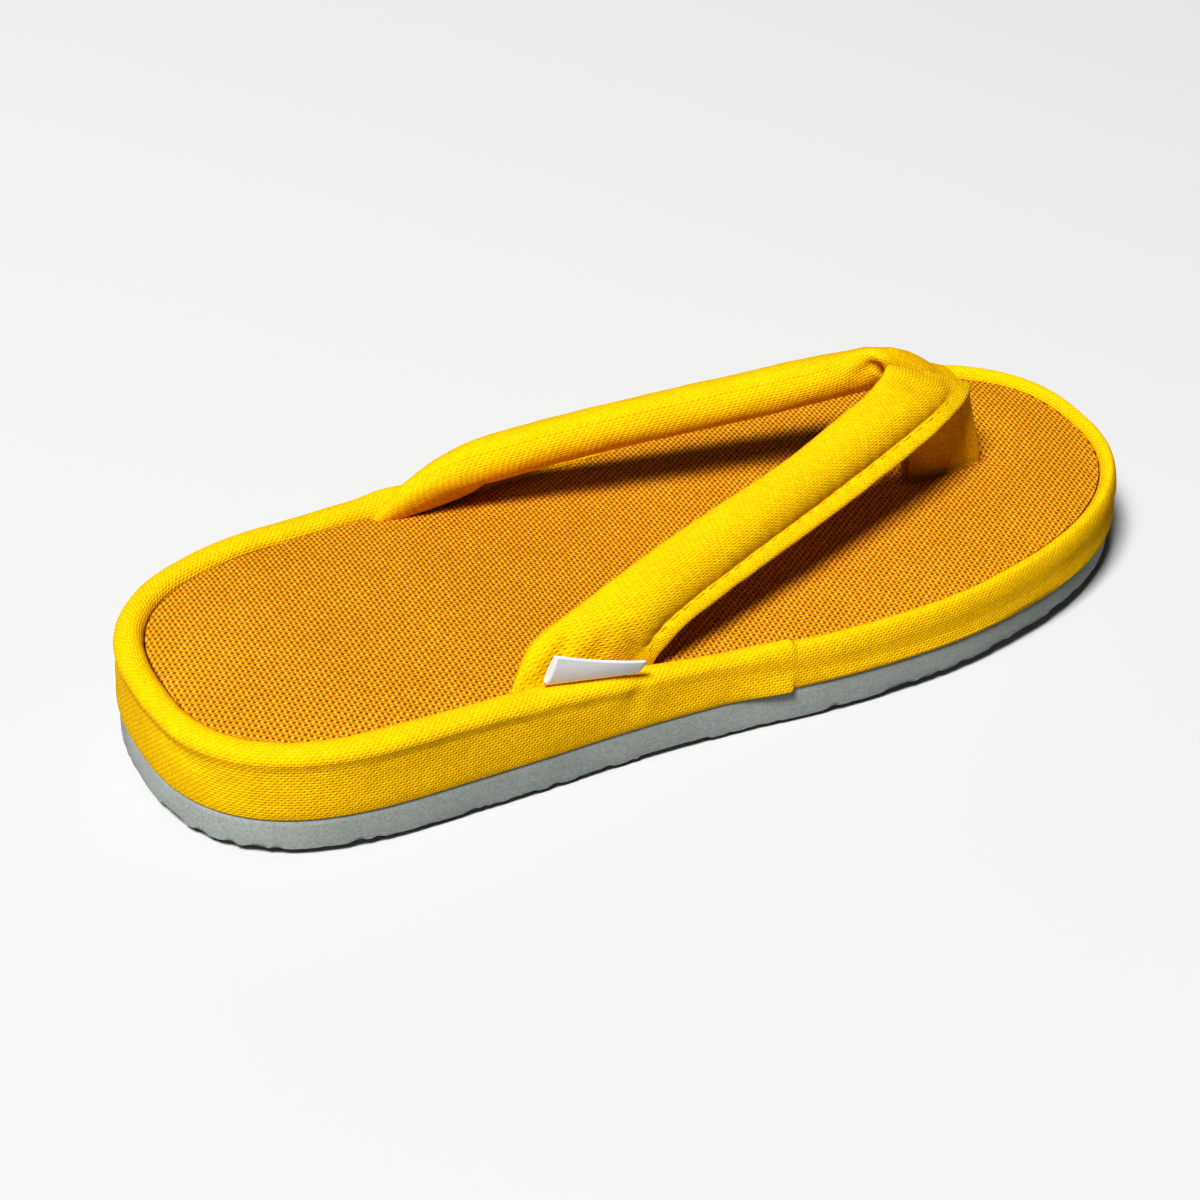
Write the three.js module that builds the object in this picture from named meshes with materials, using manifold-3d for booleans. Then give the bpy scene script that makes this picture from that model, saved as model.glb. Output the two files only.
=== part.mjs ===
// Zori sandal for either foot: foam sole, cushion footbed, canvas side band, thong straps and a blank tab.
// Millimetres. +X points to the toe, +Y to the left, +Z up. The floor is Z 0 and X 0 is half way along.
import * as THREE from "three";
import { mergeVertices } from "three/addons/utils/BufferGeometryUtils.js";
import Module from "manifold-3d";

const wasm = await Module();
wasm.setup();

// Overall sizes
const LENGTH = 255;
const SOLE_THICKNESS = 10.5;
const SOLE_EDGE = 0.8;
const TOE_SPRING = 1.6;
const SPRING_START = 0.7;
const GAP = 0.3;

// The two ends of the outline are rounded by superellipses: reach along the sole and power
const HEEL_END = { reach: 51, power: 2.53 };
const TOE_END = { reach: 74.5, power: 2.36 };

// Side band
const BAND_BULGE = 0.6;
const BAND_FOOT = 0.7;
const BAND_SHOULDER = 0.2;
const BAND_WALL = 1.8;
const RIM_DROP = 1.0;
const SEAM_DROP = 0.6;
const RIM_TURN = 150;
const RIM_STEPS = 6;

// The band's ends overlap on the right side: place of the step, its height and how far it takes to fade
const OVERLAP = { along: 0.546, height: 1.1, fade: 0.065 };

// Footbed dip where the toe post goes in, measured from the heel tip
const POST_DIP = { x: 212, depth: 1.3, reachX: 17, reachY: 10 };

// Straps: thickness and width of the flat stitched edge
const EDGE_WIDTH = 4.8;
const EDGE_THICKNESS = 2.0;
const STRAP_SECTIONS = 26;
const STRAP_ARC = 9;

// The left side swells a little beside the instep, and the left strap lies lower near its base
const LEFT_SWELL = { along: 0.46, reach: 0.12, width: 2.2 };
const LEFT_SLUMP = { along: 0.08, reach: 0.1, drop: 2.3 };

// Points round half of the sole's outline
const HALF_POINTS = 46;

// Sole stations. along: share of the length from the heel tip, half: half width before the ends are
// rounded, seam: height of the footbed seam, rim: width of the rolled rim seen from above, crown: dome.
const STATIONS = [
  { along: 0.00, half: 40.6, seam: 26.8, rim: 6.0, crown: 2.2 },
  { along: 0.12, half: 40.6, seam: 27.1, rim: 6.0, crown: 2.4 },
  { along: 0.22, half: 41.2, seam: 27.0, rim: 6.0, crown: 2.4 },
  { along: 0.30, half: 41.7, seam: 26.0, rim: 6.0, crown: 2.4 },
  { along: 0.40, half: 42.1, seam: 23.3, rim: 5.6, crown: 2.4 },
  { along: 0.50, half: 43.9, seam: 21.0, rim: 5.0, crown: 2.4 },
  { along: 0.60, half: 47.0, seam: 20.4, rim: 4.5, crown: 2.4 },
  { along: 0.70, half: 48.0, seam: 20.8, rim: 4.3, crown: 2.2 },
  { along: 0.82, half: 46.5, seam: 21.7, rim: 4.3, crown: 2.0 },
  { along: 1.00, half: 45.8, seam: 22.7, rim: 4.3, crown: 1.6 },
];

// Right strap, from below the seam to past the centre line. along: running share, inX inY inZ: its inner
// upper edge, outX outY outZ: its flat outer edge, over and under: padding on the two sides of the plane
// between the edges. X is measured from the heel tip.
const STRAP = [
  { along: -0.07, inX: 70.0, inY: -35.4, inZ: 19.5, outX: 106.8, outY: -36.9, outZ: 19.5, over: 1.7, under: 1.7 },
  { along: 0.00, inX: 72.0, inY: -34.9, inZ: 24.6, outX: 107.6, outY: -37.1, outZ: 24.0, over: 2.0, under: 2.2 },
  { along: 0.12, inX: 78.9, inY: -32.1, inZ: 34.5, outX: 109.6, outY: -37.3, outZ: 27.1, over: 3.2, under: 4.6 },
  { along: 0.25, inX: 92.3, inY: -29.4, inZ: 39.9, outX: 116.1, outY: -37.0, outZ: 32.1, over: 4.3, under: 6.4 },
  { along: 0.45, inX: 120.8, inY: -22.4, inZ: 45.6, outX: 138.7, outY: -31.3, outZ: 36.1, over: 4.5, under: 6.3 },
  { along: 0.65, inX: 151.3, inY: -15.3, inZ: 49.7, outX: 165.3, outY: -24.4, outZ: 40.1, over: 4.5, under: 6.8 },
  { along: 0.85, inX: 177.0, inY: -7.5, inZ: 54.4, outX: 195.2, outY: -15.7, outZ: 45.5, over: 4.2, under: 6.8 },
  { along: 1.00, inX: 188.4, inY: -3.2, inZ: 58.1, outX: 213.2, outY: -4.6, outZ: 45.7, over: 3.0, under: 4.4 },
  { along: 1.10, inX: 191.0, inY: 1.5, inZ: 54.9, outX: 216.0, outY: 1.5, outZ: 42.7, over: 2.0, under: 2.2 },
];

// Toe post, a flat fin on the centre line. height above the floor, rear and front from the heel tip.
const POST = [
  { height: 16.5, rear: 201.6, front: 222.8, thick: 6.8 },
  { height: 21.5, rear: 201.0, front: 222.4, thick: 6.6 },
  { height: 28.5, rear: 199.8, front: 220.8, thick: 6.4 },
  { height: 36.5, rear: 197.6, front: 218.4, thick: 6.4 },
  { height: 43.5, rear: 195.0, front: 214.6, thick: 6.0 },
  { height: 48.5, rear: 192.8, front: 205.6, thick: 5.0 },
  { height: 51.5, rear: 191.6, front: 198.0, thick: 4.0 },
];
const POST_POINTS = 24;
const POST_POWER = 4.5;

// Tab, a folded ribbon standing out of the seam. x from the heel tip, foot and tip of each section.
const TAB = [
  { x: 79.8, footY: -37.2, footZ: 25.5, tipY: -39.8, tipZ: 36.9, thick: 1.9 },
  { x: 86.0, footY: -37.8, footZ: 25.1, tipY: -40.8, tipZ: 34.1, thick: 2.1 },
  { x: 95.0, footY: -38.6, footZ: 24.1, tipY: -42.2, tipZ: 31.3, thick: 2.1 },
  { x: 101.0, footY: -39.2, footZ: 22.5, tipY: -43.0, tipZ: 29.6, thick: 1.7 },
];

const YELLOW_CANVAS = { color: 0xeebf10, roughness: 0.9, metalness: 0 };
const OCHRE_CANVAS = { color: 0xc4811d, roughness: 0.9, metalness: 0 };
const GREY_FOAM = { color: 0x8b928c, roughness: 0.85, metalness: 0 };
const WHITE_RIBBON = { color: 0xf0efec, roughness: 0.7, metalness: 0 };

// Smooth curve through one column of a table
function curve(table, key, column, at) {
  const last = table.length - 1;
  let i = 0;
  while (i < last - 1 && at > table[i + 1][key]) i += 1;
  const slope = (j) => {
    const a = table[Math.max(j - 1, 0)];
    const b = table[Math.min(j + 1, last)];
    return (b[column] - a[column]) / (b[key] - a[key]);
  };
  const span = table[i + 1][key] - table[i][key];
  const t = THREE.MathUtils.clamp((at - table[i][key]) / span, 0, 1);
  const from = table[i][column];
  const to = table[i + 1][column];
  const bendFrom = slope(i) * span;
  const bendTo = slope(i + 1) * span;
  const t2 = t * t;
  const t3 = t2 * t;
  const ends = (2 * t3 - 3 * t2 + 1) * from + (3 * t2 - 2 * t3) * to;
  return ends + (t3 - 2 * t2 + t) * bendFrom + (t3 - t2) * bendTo;
}

const fromHeel = (x) => x - LENGTH / 2;
const shareOf = (x) => THREE.MathUtils.clamp(x / LENGTH + 0.5, 0, 1);
const station = (column, along) => curve(STATIONS, "along", column, along);

function endRound(distance, end) {
  const u = THREE.MathUtils.clamp(1 - distance / end.reach, 0, 1);
  return Math.pow(Math.max(1 - Math.pow(u, end.power), 0), 1 / end.power);
}

function halfWidth(along) {
  const x = along * LENGTH;
  return station("half", along) * endRound(x, HEEL_END) * endRound(LENGTH - x, TOE_END);
}

function lift(along) {
  const t = Math.max(along - SPRING_START, 0) / (1 - SPRING_START);
  return TOE_SPRING * t * t;
}

const bandFoot = (along) => lift(along) + SOLE_THICKNESS + GAP;
const seamHeight = (along) => lift(along) + station("seam", along);

const near = (place, along) => Math.exp(-(((along - place.along) / place.reach) ** 2));
const leftSwell = (along) => LEFT_SWELL.width * near(LEFT_SWELL, along);

// Outline of the sole: the right side from heel to toe, then the left side back, with outward normals
function makeOutline() {
  const shares = [];
  for (let i = 0; i <= HALF_POINTS; i += 1) {
    shares.push((1 - Math.cos((Math.PI * i) / HALF_POINTS)) / 2);
  }
  shares.push(OVERLAP.along, OVERLAP.along + 0.002);
  shares.sort((a, b) => a - b);
  const right = shares.map((along) => ({ along, x: fromHeel(along * LENGTH), y: -halfWidth(along) }));
  const left = right.slice(1, -1).reverse().map((p) => ({ ...p, y: leftSwell(p.along) - p.y }));
  const loop = [...right, ...left];
  return loop.map((p, i) => {
    const before = loop[(i + loop.length - 1) % loop.length];
    const after = loop[(i + 1) % loop.length];
    const run = Math.hypot(after.x - before.x, after.y - before.y);
    return { ...p, nx: (after.y - before.y) / run, ny: (before.x - after.x) / run };
  });
}
const OUTLINE = makeOutline();

// One ring: a point for every outline point, moved outward by a share of its normal, at a height
function ring(offsetOf, heightOf) {
  return OUTLINE.map((p) => {
    const offset = offsetOf(p);
    return new THREE.Vector3(p.x + p.nx * offset, p.y + p.ny * offset, heightOf(p));
  });
}

// A ring drawn in towards the centre line: share 1 is the ring itself, share 0 the line
function drawnIn(edge, share, heightOf) {
  return edge.map((p, i) => {
    const spineX = THREE.MathUtils.clamp(OUTLINE[i].x, fromHeel(0.15 * LENGTH), fromHeel(0.82 * LENGTH));
    const x = spineX + share * (p.x - spineX);
    const y = share * p.y;
    return new THREE.Vector3(x, y, heightOf(x, y, share));
  });
}

// Closed geometry from rows of points: quads between rows, round and round, without flat triangles
function stitch(rows, closed) {
  const count = rows[0].length;
  const points = rows.flat();
  const faces = [];
  const strips = closed ? rows.length : rows.length - 1;
  for (let j = 0; j < strips; j += 1) {
    const next = (j + 1) % rows.length;
    for (let i = 0; i < count; i += 1) {
      const k = (i + 1) % count;
      const a = j * count + i;
      const b = j * count + k;
      const c = next * count + k;
      const d = next * count + i;
      faces.push([a, b, c], [a, c, d]);
    }
  }
  return fromFaces(points, faces);
}

function fromFaces(points, faces) {
  const geometry = new THREE.BufferGeometry();
  const flat = points.flatMap((p) => [p.x, p.y, p.z]);
  geometry.setAttribute("position", new THREE.Float32BufferAttribute(flat, 3));
  geometry.setIndex(faces.flat());
  const merged = mergeVertices(geometry, 1e-4);
  const index = merged.index.array;
  const kept = [];
  for (let i = 0; i < index.length; i += 3) {
    const [a, b, c] = [index[i], index[i + 1], index[i + 2]];
    if (a !== b && b !== c && c !== a) kept.push(a, b, c);
  }
  merged.setIndex(kept);
  return merged;
}

// Solid from sections laid one after another, closed by a fan at each end
function loft(sections) {
  const count = sections[0].length;
  const points = sections.flat();
  const faces = [];
  for (let j = 0; j + 1 < sections.length; j += 1) {
    for (let i = 0; i < count; i += 1) {
      const k = (i + 1) % count;
      const a = j * count + i;
      const b = j * count + k;
      faces.push([a, b, b + count], [a, b + count, a + count]);
    }
  }
  const ends = [sections[0], sections[sections.length - 1]];
  ends.forEach((section, which) => {
    const middle = new THREE.Vector3();
    section.forEach((p) => middle.addScaledVector(p, 1 / count));
    const centre = points.push(middle) - 1;
    const first = which === 0 ? 0 : (sections.length - 1) * count;
    for (let i = 0; i < count; i += 1) {
      const a = first + i;
      const b = first + ((i + 1) % count);
      faces.push(which === 0 ? [centre, b, a] : [centre, a, b]);
    }
  });
  return fromFaces(points, faces);
}

// Geometry to solid and back. A solid that faces inwards is turned round.
function toSolid(geometry) {
  const position = geometry.attributes.position.array;
  const index = geometry.index.array;
  let volume = 0;
  const a = new THREE.Vector3();
  const b = new THREE.Vector3();
  const c = new THREE.Vector3();
  for (let i = 0; i < index.length; i += 3) {
    a.fromArray(position, index[i] * 3);
    b.fromArray(position, index[i + 1] * 3);
    c.fromArray(position, index[i + 2] * 3);
    volume += a.dot(b.cross(c));
  }
  const triVerts = new Uint32Array(index);
  if (volume < 0) {
    for (let i = 0; i < triVerts.length; i += 3) {
      [triVerts[i + 1], triVerts[i + 2]] = [triVerts[i + 2], triVerts[i + 1]];
    }
  }
  const vertProperties = new Float32Array(position);
  return new wasm.Manifold(new wasm.Mesh({ numProp: 3, vertProperties, triVerts }));
}

function toGeometry(solid) {
  const mesh = solid.getMesh();
  const geometry = new THREE.BufferGeometry();
  geometry.setAttribute("position", new THREE.Float32BufferAttribute(mesh.vertProperties, 3));
  geometry.setIndex(Array.from(mesh.triVerts));
  return geometry;
}

function named(name, solid, look) {
  const geometry = toGeometry(solid);
  geometry.computeVertexNormals();
  const mesh = new THREE.Mesh(geometry, new THREE.MeshStandardMaterial(look));
  mesh.name = name;
  return mesh;
}

// Foam sole, with a small round along the bottom edge
function makeOutsole() {
  const bottom = ring(() => -SOLE_EDGE, (p) => lift(p.along));
  const top = ring(() => 0, (p) => lift(p.along) + SOLE_THICKNESS);
  return toSolid(stitch([
    drawnIn(bottom, 0, (x) => lift(shareOf(x))),
    bottom,
    ring(() => 0, (p) => lift(p.along) + SOLE_EDGE),
    top,
    drawnIn(top, 0.9, (x) => lift(shareOf(x)) + SOLE_THICKNESS),
    drawnIn(top, 0, (x) => lift(shareOf(x)) + SOLE_THICKNESS),
  ]));
}

// How much thicker the band is where its ends lie over each other
function overlap(p) {
  const back = OVERLAP.along - p.along;
  if (p.y > 0 || back < -0.0005) return 0;
  const t = THREE.MathUtils.clamp(back / OVERLAP.fade, 0, 1);
  return OVERLAP.height * (1 - THREE.MathUtils.smoothstep(t, 0, 1));
}

// Outer face of the band from its foot over the rolled rim to the seam, as rings. grow moves it outward.
function bandFace(grow) {
  const rim = (p) => station("rim", p.along);
  const reach = (p) => (rim(p) + BAND_SHOULDER - 0.5) / (1 - Math.cos(THREE.MathUtils.degToRad(RIM_TURN)));
  const rise = (p) => 1.6 + 0.2 * rim(p);
  const seam = (p) => seamHeight(p.along);
  const rows = [
    ring((p) => BAND_FOOT + overlap(p) + grow, (p) => bandFoot(p.along)),
    ring((p) => BAND_BULGE + overlap(p) + grow, (p) => 0.5 * (bandFoot(p.along) + seam(p))),
    ring((p) => BAND_SHOULDER + 0.15 + overlap(p) + grow, (p) => seam(p) - 2.6),
  ];
  for (let i = 1; i <= RIM_STEPS; i += 1) {
    const turn = THREE.MathUtils.degToRad((RIM_TURN * i) / RIM_STEPS);
    const outward = Math.max(Math.cos(turn), 0);
    const offset = (p) => BAND_SHOULDER - reach(p) + (reach(p) + grow) * Math.cos(turn) + overlap(p) * outward;
    const up = (p) => (rise(p) + grow + 0.6 * overlap(p) * outward) * Math.sin(turn);
    rows.push(ring(offset, (p) => seam(p) - RIM_DROP + up(p)));
  }
  rows.push(ring((p) => -rim(p) - grow, (p) => seam(p) - SEAM_DROP + grow));
  return rows;
}

// Canvas band: the outer face, and the inner face back down to the foot
function makeBand() {
  const inner = [
    ring((p) => 0.1 - station("rim", p.along), (p) => seamHeight(p.along) - 2.4),
    ring(() => -1.9, (p) => seamHeight(p.along) - 3.4),
    ring(() => BAND_BULGE - BAND_WALL, (p) => seamHeight(p.along) - 4.4),
    ring(() => BAND_FOOT - BAND_WALL, (p) => bandFoot(p.along)),
  ];
  return toSolid(stitch([...bandFace(0), ...inner], true));
}

// Height of the footbed's cloth top at a place, where share runs from 1 at the seam to 0 on the middle line
function deckHeight(x, y, share) {
  const along = shareOf(x);
  const dome = station("crown", along) * (1 - Math.pow(share, 2.6));
  const nearX = (x - fromHeel(POST_DIP.x)) / POST_DIP.reachX;
  const nearY = y / POST_DIP.reachY;
  const dip = POST_DIP.depth * Math.exp(-nearX * nearX - nearY * nearY);
  return seamHeight(along) - SEAM_DROP + dome - dip;
}

const DECK_SHARES = [0.97, 0.92, 0.84, 0.72, 0.56, 0.38, 0.2, 0];

// Cushion footbed: bottom, side inside the band, a groove for the rim's turned edge, domed top
function makeFootbed() {
  const seam = (p) => seamHeight(p.along);
  const foot = ring(() => BAND_FOOT - BAND_WALL - GAP, (p) => bandFoot(p.along));
  const edge = ring((p) => -station("rim", p.along) - GAP - 0.05, (p) => seam(p) - SEAM_DROP);
  return toSolid(stitch([
    drawnIn(foot, 0, (x) => bandFoot(shareOf(x))),
    foot,
    ring(() => BAND_BULGE - BAND_WALL - GAP - 0.1, (p) => seam(p) - 4.7),
    ring(() => -2.2, (p) => seam(p) - 3.8),
    ring((p) => -station("rim", p.along) - GAP, (p) => seam(p) - 2.8),
    edge,
    ...DECK_SHARES.map((share) => drawnIn(edge, share, deckHeight)),
  ]));
}

// Everything below the band's and footbed's upper faces, a gap larger, for trimming what stands on them
function makeGround() {
  const edge = ring((p) => -station("rim", p.along) - GAP - 0.05, (p) => seamHeight(p.along) - SEAM_DROP + GAP);
  const under = ring(() => 3, () => -5);
  return toSolid(stitch([
    drawnIn(under, 0, () => -5),
    under,
    ring(() => 3, (p) => bandFoot(p.along)),
    ...bandFace(GAP),
    edge,
    ...DECK_SHARES.map((share) => drawnIn(edge, share, (x, y, s) => deckHeight(x, y, s) + GAP)),
  ]));
}

// One strap section: round padded tube from the inner edge, then the flat edge. side 1 is the right strap.
function strapSection(along, side, grow) {
  const at = (column, where) => curve(STRAP, "along", column, where);
  const rail = (name, where) => {
    const point = new THREE.Vector3(
      fromHeel(at(`${name}X`, where)), side * at(`${name}Y`, where), at(`${name}Z`, where));
    if (side < 0) point.y += leftSwell(shareOf(point.x)) * THREE.MathUtils.clamp(1 - where / 0.3, 0, 1);
    if (side < 0 && name === "in") point.z -= LEFT_SLUMP.drop * near(LEFT_SLUMP, where);
    return point;
  };
  const inner = rail("in", along);
  const outer = rail("out", along);
  const across = outer.clone().sub(inner);
  const width = across.length();
  across.normalize();
  const middle = (where) => rail("in", where).add(rail("out", where));
  const ahead = middle(along + 0.01).sub(middle(along - 0.01)).normalize();
  const out = across.clone().cross(ahead).multiplyScalar(side).normalize();
  const tube = width - EDGE_WIDTH;
  const thin = EDGE_THICKNESS / 2 + grow;
  const face = (depth) => {
    const points = [];
    for (let i = 1; i <= STRAP_ARC; i += 1) {
      const turn = (Math.PI * i) / STRAP_ARC;
      const v = (depth + grow) * Math.pow(Math.sin(turn), 0.85);
      points.push({ u: (tube / 2) * (1 - Math.cos(turn)), v: turn > Math.PI / 2 ? Math.max(v, thin) : v });
    }
    points.push({ u: width + grow, v: thin });
    return points;
  };
  const loop = [
    { u: -grow, v: 0 },
    ...face(at("over", along)),
    ...face(at("under", along)).reverse().map((q) => ({ u: q.u, v: -q.v })),
  ];
  return loop.map((q) => inner.clone().addScaledVector(across, q.u).addScaledVector(out, q.v));
}

function makeStrap(side, grow) {
  const first = STRAP[0].along + 0.01;
  const last = STRAP[STRAP.length - 1].along - 0.01;
  const sections = [];
  for (let i = 0; i <= STRAP_SECTIONS; i += 1) {
    sections.push(strapSection(first + ((last - first) * i) / STRAP_SECTIONS, side, grow));
  }
  return toSolid(loft(sections));
}

// Toe post: rounded flat sections one above another
function makePost() {
  const sections = POST.map((row) => {
    const loop = [];
    for (let i = 0; i < POST_POINTS; i += 1) {
      const turn = (2 * Math.PI * i) / POST_POINTS;
      const c = Math.cos(turn);
      const s = Math.sin(turn);
      const size = Math.pow(Math.pow(Math.abs(c), POST_POWER) + Math.pow(Math.abs(s), POST_POWER), -1 / POST_POWER);
      const x = fromHeel((row.rear + row.front) / 2) + ((row.front - row.rear) / 2) * size * c;
      loop.push(new THREE.Vector3(x, (row.thick / 2) * size * s, row.height));
    }
    return loop;
  });
  return toSolid(loft(sections));
}

// Tab: a flat folded loop, one section after another from heel end to toe end
function makeTab() {
  const sections = TAB.map((row) => {
    const foot = new THREE.Vector3(fromHeel(row.x), row.footY, row.footZ);
    const tip = new THREE.Vector3(fromHeel(row.x), row.tipY, row.tipZ);
    const up = tip.clone().sub(foot);
    const out = new THREE.Vector3(0, up.z, -up.y).normalize();
    const shape = [[0, 0.3], [0.35, 0.42], [0.7, 0.5], [0.92, 0.38], [1, 0.12]];
    const loop = [...shape, ...shape.slice().reverse().map(([u, v]) => [u, -v])];
    return loop.map(([u, v]) => foot.clone().addScaledVector(up, u).addScaledVector(out, v * row.thick));
  });
  return toSolid(loft(sections));
}

const ground = makeGround();
const upper = makeStrap(1, 0).add(makeStrap(-1, 0)).add(makePost()).subtract(ground);
const tab = makeTab().subtract(ground).subtract(makeStrap(1, GAP));

const zori = new THREE.Group();
zori.name = "zori_sandal";
zori.add(named("outsole", makeOutsole(), GREY_FOAM));
zori.add(named("side_wrap", makeBand(), YELLOW_CANVAS));
zori.add(named("footbed", makeFootbed(), OCHRE_CANVAS));
zori.add(named("thong_straps", upper, YELLOW_CANVAS));
zori.add(named("side_tab", tab, WHITE_RIBBON));

export default zori;
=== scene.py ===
# %% [markdown]
# # A zori sandal
# A zori is a flat thong sandal: a foam sole, a cushioned footbed, a cloth band round the edge, and two
# padded straps that fold down between the toes. The imported solids hold its true sizes, so every piece
# below is made in the same frame, in metres, with +X to the toe, +Y to the left and +Z up.

# %% Load the frame
import math
import bmesh
import bpy
import numpy as np
from mathutils import Matrix, Quaternion, Vector, noise


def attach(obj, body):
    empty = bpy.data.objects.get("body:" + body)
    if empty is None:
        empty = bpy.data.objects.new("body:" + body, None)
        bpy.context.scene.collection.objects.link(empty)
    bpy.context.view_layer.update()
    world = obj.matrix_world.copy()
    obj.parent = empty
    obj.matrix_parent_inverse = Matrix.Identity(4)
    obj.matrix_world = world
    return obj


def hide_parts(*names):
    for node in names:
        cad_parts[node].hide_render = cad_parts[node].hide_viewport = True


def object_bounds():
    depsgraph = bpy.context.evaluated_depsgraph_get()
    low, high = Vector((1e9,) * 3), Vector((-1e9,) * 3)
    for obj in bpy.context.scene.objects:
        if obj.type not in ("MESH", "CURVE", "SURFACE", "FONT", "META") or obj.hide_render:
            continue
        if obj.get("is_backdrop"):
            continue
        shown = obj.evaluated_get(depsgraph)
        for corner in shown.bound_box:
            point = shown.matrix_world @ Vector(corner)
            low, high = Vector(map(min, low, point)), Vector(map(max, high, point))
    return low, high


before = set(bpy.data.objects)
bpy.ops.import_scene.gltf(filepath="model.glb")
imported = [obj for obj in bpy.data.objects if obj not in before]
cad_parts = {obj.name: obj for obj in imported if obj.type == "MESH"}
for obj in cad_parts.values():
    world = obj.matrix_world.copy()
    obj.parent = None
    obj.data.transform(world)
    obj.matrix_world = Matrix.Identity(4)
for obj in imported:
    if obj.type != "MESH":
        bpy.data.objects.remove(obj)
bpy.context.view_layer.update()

# %% [markdown]
# ## Camera
# The photograph looks down on the heel's right side from about 38 degrees up, with the camera rolled by
# four degrees. A short telephoto lens 0.67 m away gives its mild perspective. The camera could be posed
# by angles, but a place and a point to aim at are easier to read, and the roll is turned in last.

# %% Place the camera
MM = 0.001
eye = Vector((-301.6, -459.5, 436.0)) * MM
aim = Vector((-18.9, -11.2, 22.5)) * MM
roll = math.radians(3.97)

camera = bpy.data.objects.new("camera", bpy.data.cameras.new("camera"))
camera.data.sensor_width = 36.0
camera.data.lens = 88.3
camera.location = eye
turn = (aim - eye).to_track_quat("-Z", "Y") @ Quaternion((0, 0, 1), roll)
camera.rotation_euler = turn.to_euler()
bpy.context.collection.objects.link(camera)
bpy.context.scene.camera = camera
print("camera distance, mm:", round((aim - eye).length * 1000))

# %% [markdown]
# ## Sizes of the sole
# The outline and the wedge are the same short table that the solids use. Each row is a station along the
# sole, as a share of its length, and a smooth curve runs through every column. The two ends could be
# drawn point by point, but a superellipse rounds each of them with two numbers, and gives the broad toe.

# %% Sole table
LENGTH = 255.0
SOLE_THICKNESS = 10.5
TOE_SPRING, SPRING_START = 1.6, 0.7
HEEL_REACH, HEEL_POWER = 51.0, 2.53
TOE_REACH, TOE_POWER = 74.5, 2.36
SWELL_AT, SWELL_REACH, SWELL = 0.46, 0.12, 2.2

HALF, SEAM, RIM, CROWN = range(1, 5)
SOLE = np.array([
    # along, half width, seam height, rim width, crown
    (0.00, 40.6, 26.8, 6.0, 2.2),
    (0.12, 40.6, 27.1, 6.0, 2.4),
    (0.22, 41.2, 27.0, 6.0, 2.4),
    (0.30, 41.7, 26.0, 6.0, 2.4),
    (0.40, 42.1, 23.3, 5.6, 2.4),
    (0.50, 43.9, 21.0, 5.0, 2.4),
    (0.60, 47.0, 20.4, 4.5, 2.4),
    (0.70, 48.0, 20.8, 4.3, 2.2),
    (0.82, 46.5, 21.7, 4.3, 2.0),
    (1.00, 45.8, 22.7, 4.3, 1.6),
])


def smooth_column(table, column, at):
    """A smooth curve through one column of a table, read at the places in at."""
    x, y = table[:, 0], table[:, column]
    slope = np.gradient(y, x)
    slope[1:-1] = (y[2:] - y[:-2]) / (x[2:] - x[:-2])
    at = np.asarray(at, float)
    i = np.clip(np.searchsorted(x, at) - 1, 0, len(x) - 2)
    span = x[i + 1] - x[i]
    t = np.clip((at - x[i]) / span, 0, 1)
    ends = (2 * t**3 - 3 * t**2 + 1) * y[i] + (3 * t**2 - 2 * t**3) * y[i + 1]
    return ends + span * ((t**3 - 2 * t**2 + t) * slope[i] + (t**3 - t**2) * slope[i + 1])


# %% Sizes at any place along the sole
def end_round(distance, reach, power):
    return np.clip(1 - np.clip(1 - distance / reach, 0, 1) ** power, 0, 1) ** (1 / power)


def half_width(along):
    x = along * LENGTH
    ends = end_round(x, HEEL_REACH, HEEL_POWER) * end_round(LENGTH - x, TOE_REACH, TOE_POWER)
    return smooth_column(SOLE, HALF, along) * ends


def toe_lift(along):
    return TOE_SPRING * (np.clip(along - SPRING_START, 0, 1) / (1 - SPRING_START)) ** 2


def seam_height(along):
    return toe_lift(along) + smooth_column(SOLE, SEAM, along)


def share_of(x):
    return np.clip(x / LENGTH + 0.5, 0, 1)


def left_swell(along):
    """The left side stands out a little further beside the instep."""
    return SWELL * np.exp(-(((along - SWELL_AT) / SWELL_REACH) ** 2))


print("width at the ball, mm:", round(2 * float(half_width(np.array(0.7))), 1))

# %% [markdown]
# ## Panels
# Every part of a zori starts as a flat panel that is cut out and bent round something. The script does
# the same: a panel is a grid made by one operator, each of its points is moved to its place, and the
# edges that meet are welded. The grid keeps a flat map of the cloth in millimetres, so that threads can
# follow the surface.

# %% Panel maker
WELD, SLIVER = 2e-6, 1e-6  # metres


def panel(place, cloth, closed=True):
    """A grid bent to place[column, row], with cloth[column, row] as its flat map, both in mm."""
    columns, rows = place.shape[0] - 1, place.shape[1] - 1
    bm = bmesh.new()
    flat = bm.loops.layers.uv.new("cloth")
    bmesh.ops.create_grid(bm, x_segments=columns, y_segments=rows, size=1.0)
    spot = {v: (round((v.co.x + 1) / 2 * columns), round((v.co.y + 1) / 2 * rows)) for v in bm.verts}
    for face in bm.faces:
        for loop in face.loops:
            loop[flat].uv = cloth[spot[loop.vert]]
    for v, (i, j) in spot.items():
        v.co = Vector(place[i, j]) * MM
    if closed:
        bmesh.ops.remove_doubles(bm, verts=bm.verts, dist=WELD)
        bmesh.ops.dissolve_degenerate(bm, edges=bm.edges, dist=SLIVER)
        open_edges = [e for e in bm.edges if e.is_boundary]
        if open_edges:
            bmesh.ops.holes_fill(bm, edges=open_edges, sides=0)
        bmesh.ops.recalc_face_normals(bm, faces=bm.faces)
    return bm


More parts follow.
